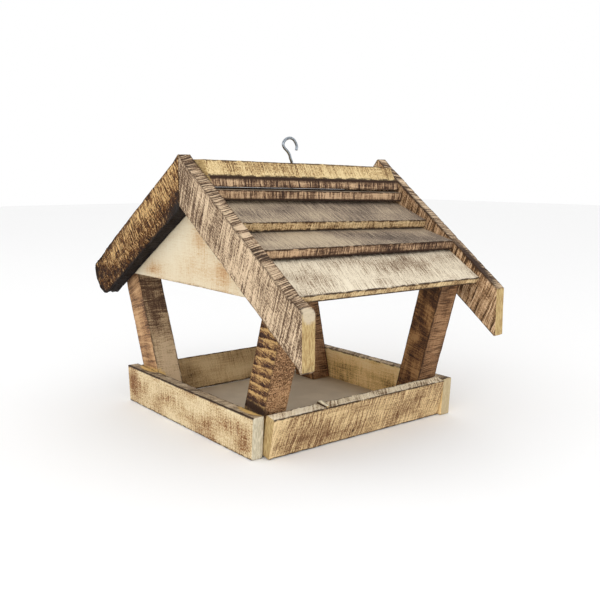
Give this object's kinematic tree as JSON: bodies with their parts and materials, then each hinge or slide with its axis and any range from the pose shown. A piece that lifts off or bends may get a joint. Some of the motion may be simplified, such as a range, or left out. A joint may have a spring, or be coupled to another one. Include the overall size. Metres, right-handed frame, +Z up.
{
  "type": "hanging bird feeder",
  "caption": "Open-sided wooden bird feeder for hanging: a shallow square tray, four leaning corner posts and a stepped gable roof of scorched rough-sawn boards with a screw hook in its ridge.",
  "frame": {"origin": "under the centre of the bounding box, in the plane the tray stands on", "axes": "+Z up, ridge along Y, gables facing -Y and +Y, eaves towards +X and -X"},
  "size_m": [0.4066, 0.2814, 0.3031],
  "materials": {
    "gable_panel": "pale board with faint scorch marks",
    "verge_board": "rough-sawn, scorched",
    "roof_slat": "rough-sawn, scorched and greyed",
    "ridge_board": "rough-sawn, scorched",
    "post": "rough-sawn, scorched",
    "tray_board": "rough-sawn, scorched",
    "floor_panel": "smooth, dull",
    "hook_steel": "bright zinc plate"
  },
  "bodies": {
    "root": {"gable_front": "gable_panel", "gable_back": "gable_panel", "verge_front_right": "verge_board", "verge_front_left": "verge_board", "verge_back_right": "verge_board", "verge_back_left": "verge_board", "slat_eave_right": "roof_slat", "slat_eave_left": "roof_slat", "slat_middle_right": "roof_slat", "slat_middle_left": "roof_slat", "slat_upper_right": "roof_slat", "slat_upper_left": "roof_slat", "slat_ridge_right": "roof_slat", "slat_ridge_left": "roof_slat", "ridge_base": "ridge_board", "ridge_cap": "ridge_board", "post_front_right": "post", "post_front_left": "post", "post_back_right": "post", "post_back_left": "post", "tray_board_front": "tray_board", "tray_board_back": "tray_board", "tray_board_right": "tray_board", "tray_board_left": "tray_board", "tray_floor": "floor_panel", "screw_hook": "hook_steel"}
  },
  "joints": []
}
